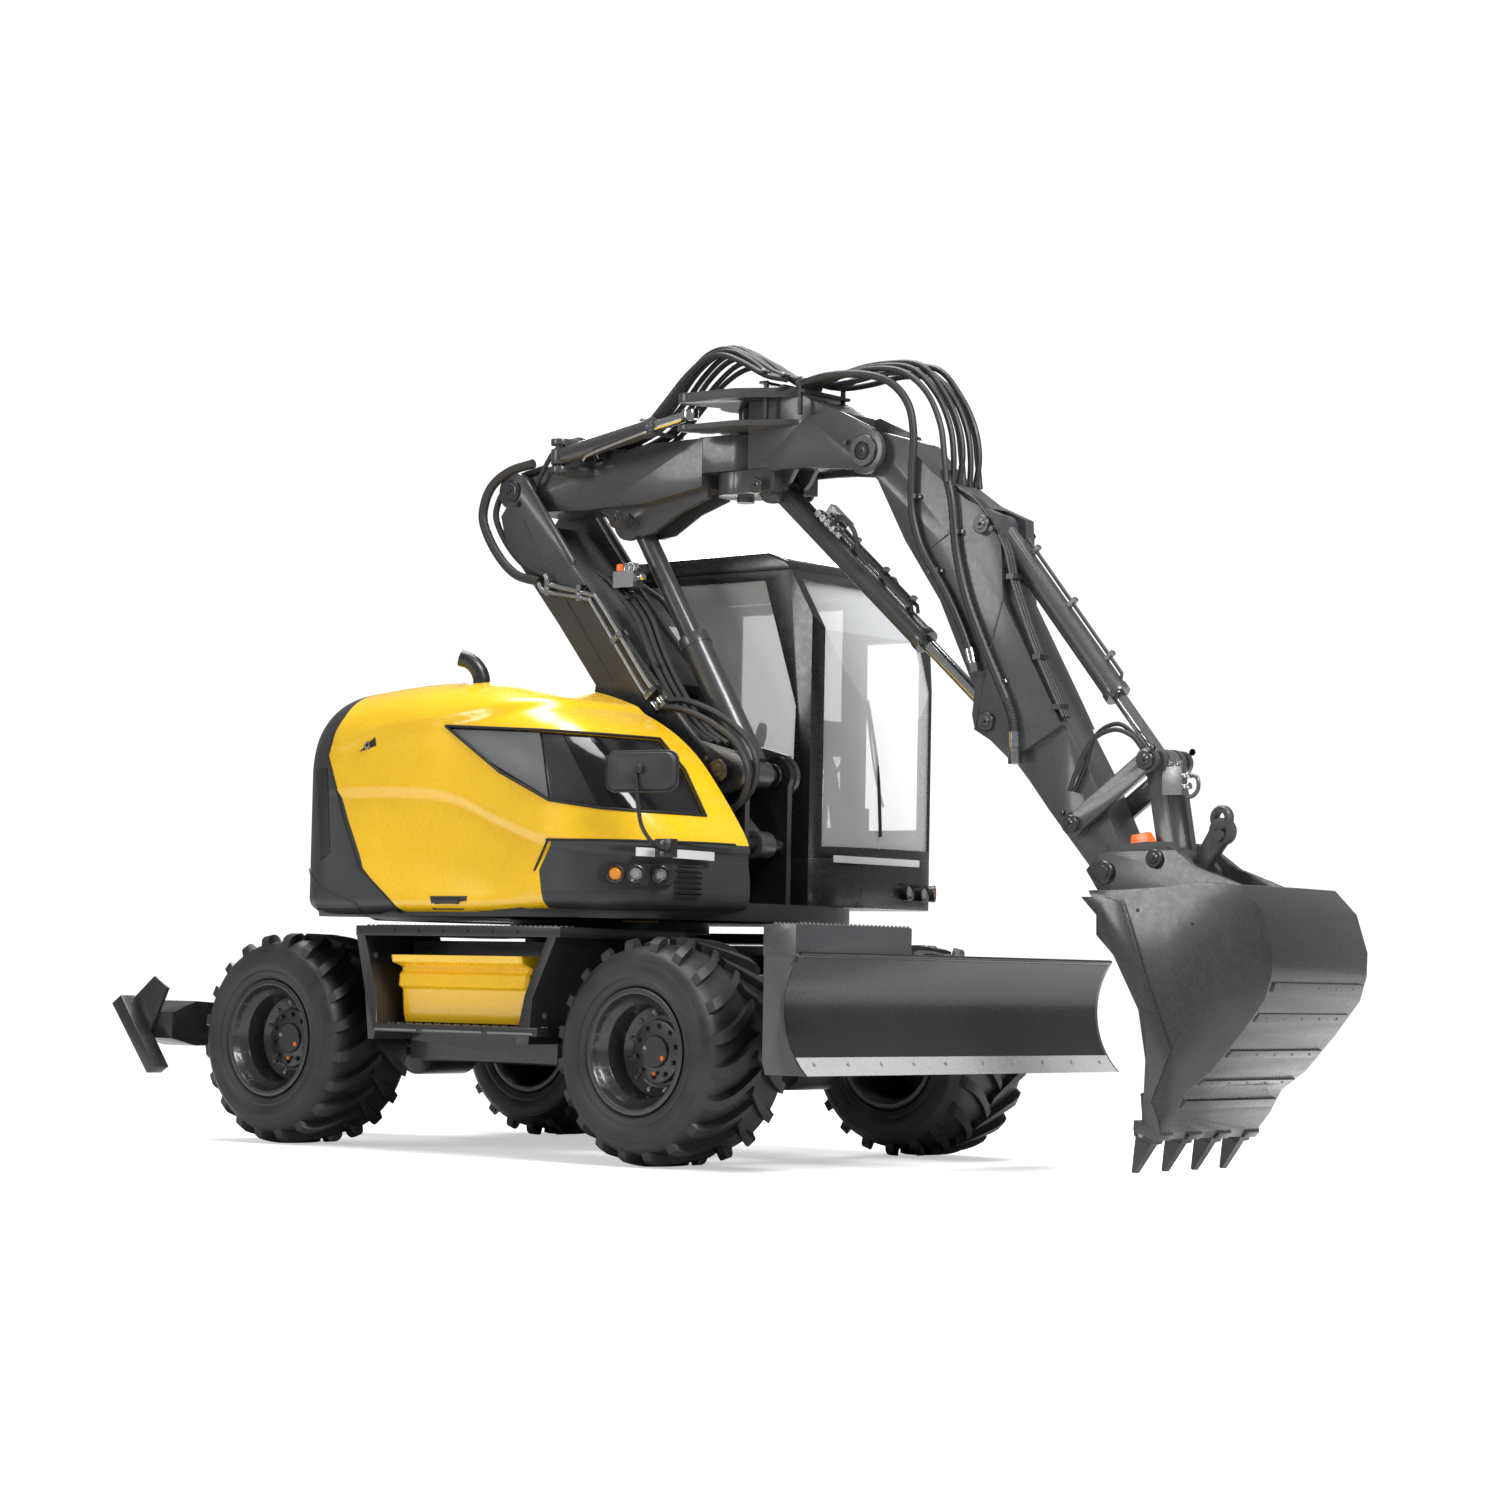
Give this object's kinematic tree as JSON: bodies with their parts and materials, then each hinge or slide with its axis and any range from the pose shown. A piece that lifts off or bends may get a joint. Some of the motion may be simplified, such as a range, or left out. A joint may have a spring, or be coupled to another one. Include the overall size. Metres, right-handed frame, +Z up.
{
  "type": "wheeled excavator",
  "caption": "Wheeled excavator with folding articulated boom, offset hinge, quick hitch and bucket, front blade, rear stabilisers, steered wheels and glazed cab",
  "frame": {"origin": "ground level under the middle of the overall length and width, at the tyres' lowest point", "axes": "+X forward towards the blade and bucket, +Y to the machine's left, +Z up"},
  "size_m": [6.745, 2.55, 4.1385],
  "materials": {
    "yellow_paint": "gloss",
    "grey_paint": "satin",
    "black_paint": "satin",
    "chrome_rod": "polished",
    "tyre": "matte",
    "rim_paint": "satin",
    "dark_plastic": "matte",
    "glass": "polished",
    "seat_fabric": "matte",
    "cast": "satin",
    "lamp_lens": "polished",
    "hose_rubber": "matte"
  },
  "bodies": {
    "chassis": {"chassis_frame": "black_paint", "side_steps": "black_paint", "tool_boxes": "yellow_paint", "front_axle": "black_paint", "rear_axle": "black_paint"},
    "knuckle_left": {"knuckle_left": "black_paint"},
    "knuckle_right": {"knuckle_right": "black_paint"},
    "wheel_front_left": {"tyre_front_left": "tyre", "rim_front_left": "rim_paint"},
    "wheel_front_right": {"tyre_front_right": "tyre", "rim_front_right": "rim_paint"},
    "wheel_rear_left": {"tyre_rear_left": "tyre", "rim_rear_left": "rim_paint"},
    "wheel_rear_right": {"tyre_rear_right": "tyre", "rim_rear_right": "rim_paint"},
    "blade_lower_arms": {"blade_lower_arms": "black_paint"},
    "blade_upper_arms": {"blade_upper_arms": "black_paint"},
    "blade": {"blade": "black_paint"},
    "blade_barrel": {"blade_cylinder": "black_paint"},
    "blade_piston": {"blade_rod": "chrome_rod"},
    "leg_left": {"stabiliser_leg_left": "black_paint"},
    "leg_right": {"stabiliser_leg_right": "black_paint"},
    "turret": {"turret_frame": "grey_paint", "counterweight": "dark_plastic", "front_console": "dark_plastic", "left_cover": "grey_paint", "engine_block": "cast", "cab_base": "grey_paint", "cab_frame": "grey_paint", "cab_roof": "grey_paint", "cab_glass": "glass", "cab_seat": "seat_fabric", "work_lamps": "lamp_lens"},
    "hood": {"engine_hood": "yellow_paint", "exhaust": "cast", "mirror": "dark_plastic", "hood_window": "dark_plastic"},
    "door": {"cab_door": "grey_paint", "door_glass": "glass"},
    "base_link": {"base_link": "grey_paint"},
    "link_barrel": {"link_cylinder": "grey_paint"},
    "link_piston": {"link_rod": "chrome_rod"},
    "lift_barrel": {"lift_cylinder": "grey_paint"},
    "lift_piston": {"lift_rod": "grey_paint"},
    "rear_boom": {"rear_boom": "grey_paint", "main_hose": "hose_rubber"},
    "offset_barrel": {"offset_cylinder": "grey_paint"},
    "offset_piston": {"offset_rod": "chrome_rod"},
    "boom_head": {"boom_head": "grey_paint"},
    "stick_barrel": {"stick_cylinder": "grey_paint"},
    "stick_piston": {"stick_rod": "chrome_rod"},
    "stick": {"stick": "grey_paint"},
    "bucket_barrel": {"bucket_cylinder": "grey_paint"},
    "bucket_piston": {"bucket_rod": "chrome_rod"},
    "tipping_levers": {"tipping_levers": "grey_paint"},
    "bucket_link": {"bucket_link": "grey_paint"},
    "bucket": {"quick_hitch": "cast", "bucket": "grey_paint"}
  },
  "joints": [
    {"name": "steer_left", "type": "hinge", "parent": "chassis", "child": "knuckle_left", "pos_m": [0.4075, 0.8, 0.545], "axis": [0, 0, 1], "range_deg": [-20, 20]},
    {"name": "wheel_front_left_spin", "type": "hinge", "parent": "knuckle_left", "child": "wheel_front_left", "pos_m": [0.4075, 0.975, 0.545], "axis": [0, 1, 0], "continuous": true},
    {"name": "steer_right", "type": "hinge", "parent": "chassis", "child": "knuckle_right", "pos_m": [0.4075, -0.8, 0.545], "axis": [0, 0, 1], "range_deg": [-20, 20]},
    {"name": "wheel_front_right_spin", "type": "hinge", "parent": "knuckle_right", "child": "wheel_front_right", "pos_m": [0.4075, -0.975, 0.545], "axis": [0, 1, 0], "continuous": true},
    {"name": "wheel_rear_left_spin", "type": "hinge", "parent": "chassis", "child": "wheel_rear_left", "pos_m": [-2.1195, 0.975, 0.545], "axis": [0, 1, 0], "continuous": true},
    {"name": "wheel_rear_right_spin", "type": "hinge", "parent": "chassis", "child": "wheel_rear_right", "pos_m": [-2.1195, -0.975, 0.545], "axis": [0, 1, 0], "continuous": true},
    {"name": "blade_lift", "type": "hinge", "parent": "chassis", "child": "blade_lower_arms", "pos_m": [0.6675, 0, 0.5], "axis": [0, 1, 0], "range_deg": [-5, 38]},
    {"name": "blade_upper_swing", "type": "hinge", "parent": "chassis", "child": "blade_upper_arms", "pos_m": [0.6675, 0, 0.76], "axis": [0, 1, 0], "range_deg": [-5.2, 38.2]},
    {"name": "blade_level", "type": "hinge", "parent": "blade_lower_arms", "child": "blade", "pos_m": [1.16416, 0, 0.73159], "axis": [0, 1, 0], "range_deg": [-38.2, 5.2]},
    {"name": "blade_cylinder_swing", "type": "hinge", "parent": "chassis", "child": "blade_barrel", "pos_m": [0.5875, 0, 1], "axis": [0, 1, 0], "range_deg": [-2.23, 15.6]},
    {"name": "blade_cylinder_stroke", "type": "slide", "parent": "blade_barrel", "child": "blade_piston", "axis": [0.8192, 0, -0.5735], "range_m": [-0.03013, 0.21576]},
    {"name": "leg_right_swing", "type": "hinge", "parent": "chassis", "child": "leg_right", "pos_m": [-3.1375, -0.25, 0.56], "axis": [1, 0, 0], "range_deg": [-5, 30]},
    {"name": "leg_left_swing", "type": "hinge", "parent": "chassis", "child": "leg_left", "pos_m": [-3.1375, 0.25, 0.56], "axis": [-1, 0, 0], "range_deg": [-5, 30]},
    {"name": "slew", "type": "hinge", "parent": "chassis", "child": "turret", "pos_m": [-0.8925, 0, 1.128], "axis": [0, 0, 1], "continuous": true},
    {"name": "hood_lift", "type": "hinge", "parent": "turret", "child": "hood", "pos_m": [-0.8925, -0.325, 2.378], "axis": [-1, 0, 0], "range_deg": [0, 60]},
    {"name": "door_swing", "type": "hinge", "parent": "turret", "child": "door", "pos_m": [-1.1555, 1.254, 2.16], "axis": [0, 0, 1], "range_deg": [0, 140]},
    {"name": "base_link_swing", "type": "hinge", "parent": "turret", "child": "base_link", "pos_m": [0.0825, 0, 1.93], "axis": [0, 1, 0], "range_deg": [-3, 27]},
    {"name": "link_cylinder_swing", "type": "hinge", "parent": "turret", "child": "link_barrel", "pos_m": [0.1075, 0, 1.572], "axis": [0, 1, 0], "range_deg": [-2.46, 20.53]},
    {"name": "link_cylinder_stroke", "type": "slide", "parent": "link_barrel", "child": "link_piston", "axis": [-0.7289, 0, 0.6846], "range_m": [-0.01255, 0.09693]},
    {"name": "boom_lift", "type": "hinge", "parent": "base_link", "child": "rear_boom", "pos_m": [-1.4525, 0, 3.46], "axis": [0, 1, 0], "range_deg": [-48, 14]},
    {"name": "lift_cylinder_swing", "type": "hinge", "parent": "base_link", "child": "lift_barrel", "pos_m": [0.0825, 0, 1.93], "axis": [0, 1, 0], "range_deg": [-2.62, 8.51]},
    {"name": "lift_cylinder_stroke", "type": "slide", "parent": "lift_barrel", "child": "lift_piston", "axis": [-0.5257, 0, 0.8507], "range_m": [-0.14866, 0.50485]},
    {"name": "offset_swing", "type": "hinge", "parent": "rear_boom", "child": "boom_head", "pos_m": [-0.0225, 0, 3.6], "axis": [0, 0, 1], "range_deg": [-40, 40]},
    {"name": "offset_cylinder_swing", "type": "hinge", "parent": "rear_boom", "child": "offset_barrel", "pos_m": [-1.0425, -0.3, 3.6], "axis": [0, 0, 1], "range_deg": [-5.2, 5.2]},
    {"name": "offset_cylinder_stroke", "type": "slide", "parent": "offset_barrel", "child": "offset_piston", "axis": [0.987, 0, 0.1606], "range_m": [-0.18202, 0.18202]},
    {"name": "stick_swing", "type": "hinge", "parent": "boom_head", "child": "stick", "pos_m": [0.8945, 0, 3.49], "axis": [0, -1, 0], "range_deg": [-16, 50]},
    {"name": "stick_cylinder_swing", "type": "hinge", "parent": "boom_head", "child": "stick_barrel", "pos_m": [0.2175, 0, 3.37], "axis": [0, -1, 0], "range_deg": [-11.98, 37.01]},
    {"name": "stick_cylinder_stroke", "type": "slide", "parent": "stick_barrel", "child": "stick_piston", "axis": [0.7512, 0, -0.66], "range_m": [-0.1197, 0.36983]},
    {"name": "bucket_swing", "type": "hinge", "parent": "stick", "child": "bucket", "pos_m": [2.3435, 0, 1.42], "axis": [0, 1, 0], "range_deg": [-60, 45]},
    {"name": "lever_swing", "type": "hinge", "parent": "stick", "child": "tipping_levers", "pos_m": [2.1315, 0, 1.645], "axis": [0, 1, 0], "range_deg": [-38.34, 28.81]},
    {"name": "bucket_link_swing", "type": "hinge", "parent": "tipping_levers", "child": "bucket_link", "pos_m": [2.5335, 0, 1.935], "axis": [0, 1, 0], "range_deg": [-17.43, 23.18]},
    {"name": "bucket_cylinder_swing", "type": "hinge", "parent": "stick", "child": "bucket_barrel", "pos_m": [1.5875, 0, 3.085], "axis": [0, 1, 0], "range_deg": [-0.388, 0.45]},
    {"name": "bucket_cylinder_stroke", "type": "slide", "parent": "bucket_barrel", "child": "bucket_piston", "axis": [0.6353, 0, -0.7723], "range_m": [-0.31334, 0.23551]}
  ],
  "couplings": [
    {"joint": "steer_right", "follows": "steer_left", "ratio": 1},
    {"joint": "blade_upper_swing", "follows": "blade_lift", "ratio": 1},
    {"joint": "blade_level", "follows": "blade_lift", "ratio": -1},
    {"joint": "blade_cylinder_swing", "follows": "blade_lift", "ratio": 0.40524},
    {"joint": "blade_cylinder_stroke", "follows": "blade_lift", "m_per_rad": 0.3223},
    {"joint": "link_cylinder_swing", "follows": "base_link_swing", "ratio": 0.75283},
    {"joint": "link_cylinder_stroke", "follows": "base_link_swing", "m_per_rad": 0.20144},
    {"joint": "lift_cylinder_swing", "follows": "boom_lift", "ratio": -0.17307},
    {"joint": "lift_cylinder_stroke", "follows": "boom_lift", "m_per_rad": -0.60023},
    {"joint": "offset_cylinder_swing", "follows": "offset_swing", "ratio": -0.12498},
    {"joint": "offset_cylinder_stroke", "follows": "offset_swing", "m_per_rad": 0.25786},
    {"joint": "stick_cylinder_swing", "follows": "stick_swing", "ratio": 0.73624},
    {"joint": "stick_cylinder_stroke", "follows": "stick_swing", "m_per_rad": 0.4215},
    {"joint": "lever_swing", "follows": "bucket_swing", "ratio": 0.63568},
    {"joint": "bucket_link_swing", "follows": "bucket_swing", "ratio": -0.38292},
    {"joint": "bucket_cylinder_swing", "follows": "bucket_swing", "ratio": -0.00417},
    {"joint": "bucket_cylinder_stroke", "follows": "bucket_swing", "m_per_rad": 0.29731}
  ]
}
